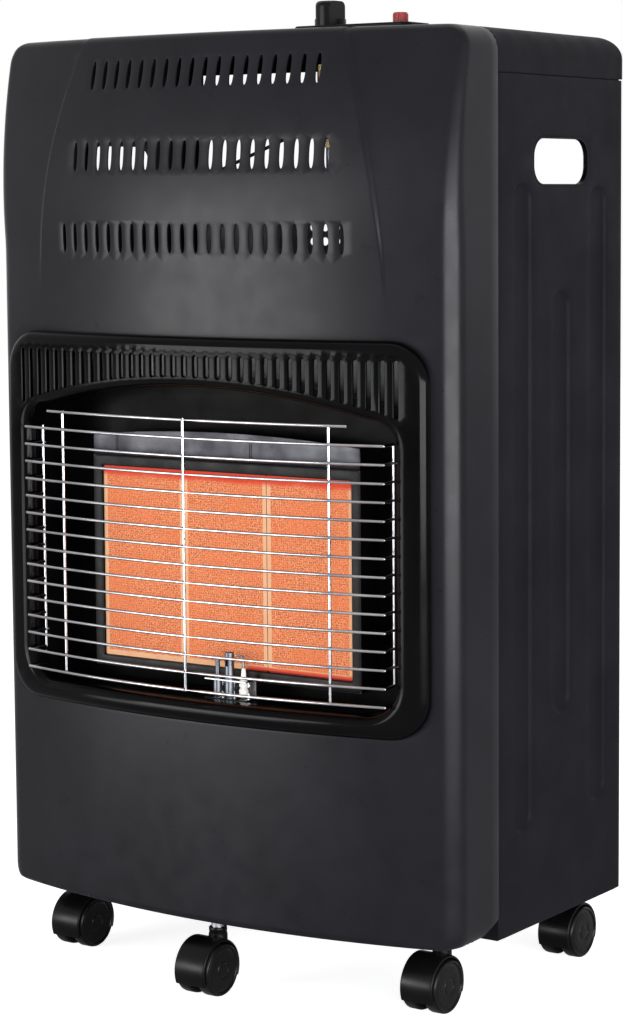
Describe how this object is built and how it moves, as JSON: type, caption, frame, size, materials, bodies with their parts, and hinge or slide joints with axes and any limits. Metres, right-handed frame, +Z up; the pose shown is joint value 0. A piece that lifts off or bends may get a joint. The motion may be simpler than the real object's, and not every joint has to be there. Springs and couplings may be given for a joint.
{
  "type": "portable gas cabinet heater",
  "caption": "Bow-fronted gas cabinet heater on casters, with glowing ceramic plaques behind a wire guard, air slots, a control knob, an igniter button and handle holes.",
  "frame": {"origin": "on the floor, under the middle of the bounding box, with every caster trailing forwards", "axes": "+X to the viewer's right when facing the front, +Y towards the back, +Z up"},
  "size_m": [0.42, 0.3351, 0.7375],
  "materials": {
    "cabinet_paint": "satin charcoal enamel",
    "front_paint": "satin charcoal enamel",
    "bezel_enamel": "gloss black enamel",
    "galvanised_steel": "galvanised",
    "burner_casting": "cast, dull",
    "ceramic_plaque": "perforated ceramic, glowing",
    "chrome_wire": "bright chrome",
    "pilot_steel": "satin",
    "brass_fittings": "turned",
    "white_ceramic": "glazed ceramic",
    "lead_sleeve": "matt sleeve",
    "trim_plastic": "fine satin",
    "knob_plastic": "satin",
    "button_plastic": "red, ribbed",
    "caster_plastic": "satin black",
    "wheel_plastic": "black, worn tread",
    "caster_steel": "zinc plated"
  },
  "bodies": {
    "cabinet": {"base_pan": "cabinet_paint", "bezel": "bezel_enamel", "burner_chamber": "bezel_enamel", "burner_housing": "burner_casting", "burner_pipe": "pilot_steel", "caster_sockets": "caster_steel", "control_plate": "trim_plastic", "cover_screws": "galvanised_steel", "deflector": "galvanised_steel", "front_panel": "front_paint", "gas_manifold": "burner_casting", "gas_tap": "brass_fittings", "handle_liner_left": "trim_plastic", "handle_liner_right": "trim_plastic", "heat_shield": "galvanised_steel", "hose_nozzle": "brass_fittings", "ignition_lead": "lead_sleeve", "injectors": "brass_fittings", "lid": "cabinet_paint", "piezo_igniter": "trim_plastic", "pilot_bracket": "chrome_wire", "pilot_burner": "pilot_steel", "pilot_pipe": "pilot_steel", "plaque_centre": "ceramic_plaque", "plaque_left": "ceramic_plaque", "plaque_right": "ceramic_plaque", "rear_cover": "galvanised_steel", "side_panel_left": "cabinet_paint", "side_panel_right": "cabinet_paint", "spark_insulator": "white_ceramic", "spark_wire": "pilot_steel", "thermocouple": "pilot_steel", "thermocouple_lead": "lead_sleeve", "venturi_tubes": "burner_casting", "wire_guard": "chrome_wire"},
    "caster_front_left": {"caster_front_left_hood": "caster_plastic", "caster_front_left_stem": "caster_steel"},
    "wheels_front_left": {"caster_front_left_wheels": "wheel_plastic", "caster_front_left_axle": "caster_steel"},
    "caster_front_right": {"caster_front_right_hood": "caster_plastic", "caster_front_right_stem": "caster_steel"},
    "wheels_front_right": {"caster_front_right_wheels": "wheel_plastic", "caster_front_right_axle": "caster_steel"},
    "caster_rear_left": {"caster_rear_left_hood": "caster_plastic", "caster_rear_left_stem": "caster_steel"},
    "wheels_rear_left": {"caster_rear_left_wheels": "wheel_plastic", "caster_rear_left_axle": "caster_steel"},
    "caster_rear_right": {"caster_rear_right_hood": "caster_plastic", "caster_rear_right_stem": "caster_steel"},
    "wheels_rear_right": {"caster_rear_right_wheels": "wheel_plastic", "caster_rear_right_axle": "caster_steel"},
    "caster_middle": {"caster_middle_hood": "caster_plastic", "caster_middle_stem": "caster_steel"},
    "wheels_middle": {"caster_middle_wheels": "wheel_plastic", "caster_middle_axle": "caster_steel"},
    "tap_plug": {"valve_plug": "burner_casting"},
    "knob": {"control_knob": "knob_plastic", "valve_spindle": "chrome_wire"},
    "igniter": {"igniter_button": "button_plastic"}
  },
  "joints": [
    {"name": "swivel_front_left", "type": "hinge", "parent": "cabinet", "child": "caster_front_left", "pos_m": [-0.166, -0.0755, 0.045], "axis": [0, 0, 1], "continuous": true},
    {"name": "roll_front_left", "type": "hinge", "parent": "caster_front_left", "child": "wheels_front_left", "pos_m": [-0.166, -0.0895, 0.02], "axis": [1, 0, 0], "continuous": true},
    {"name": "swivel_front_right", "type": "hinge", "parent": "cabinet", "child": "caster_front_right", "pos_m": [0.166, -0.0755, 0.045], "axis": [0, 0, 1], "continuous": true},
    {"name": "roll_front_right", "type": "hinge", "parent": "caster_front_right", "child": "wheels_front_right", "pos_m": [0.166, -0.0895, 0.02], "axis": [1, 0, 0], "continuous": true},
    {"name": "swivel_rear_left", "type": "hinge", "parent": "cabinet", "child": "caster_rear_left", "pos_m": [-0.177, 0.1055, 0.045], "axis": [0, 0, 1], "continuous": true},
    {"name": "roll_rear_left", "type": "hinge", "parent": "caster_rear_left", "child": "wheels_rear_left", "pos_m": [-0.177, 0.0915, 0.02], "axis": [1, 0, 0], "continuous": true},
    {"name": "swivel_rear_right", "type": "hinge", "parent": "cabinet", "child": "caster_rear_right", "pos_m": [0.177, 0.1055, 0.045], "axis": [0, 0, 1], "continuous": true},
    {"name": "roll_rear_right", "type": "hinge", "parent": "caster_rear_right", "child": "wheels_rear_right", "pos_m": [0.177, 0.0915, 0.02], "axis": [1, 0, 0], "continuous": true},
    {"name": "swivel_middle", "type": "hinge", "parent": "cabinet", "child": "caster_middle", "pos_m": [0, -0.1295, 0.045], "axis": [0, 0, 1], "continuous": true},
    {"name": "roll_middle", "type": "hinge", "parent": "caster_middle", "child": "wheels_middle", "pos_m": [0, -0.1435, 0.02], "axis": [1, 0, 0], "continuous": true},
    {"name": "knob_turn", "type": "hinge", "parent": "cabinet", "child": "tap_plug", "pos_m": [0.078, -0.0845, 0.69], "axis": [0, 0, 1], "range_deg": [0, 180]},
    {"name": "knob_press", "type": "slide", "parent": "tap_plug", "child": "knob", "axis": [0, 0, -1], "range_m": [0, 0.003], "stiffness_N_per_m": 1200, "springref_m": -0.0015},
    {"name": "igniter_press", "type": "slide", "parent": "cabinet", "child": "igniter", "axis": [0, 0, -1], "range_m": [0, 0.005], "stiffness_N_per_m": 1500, "springref_m": -0.001}
  ]
}
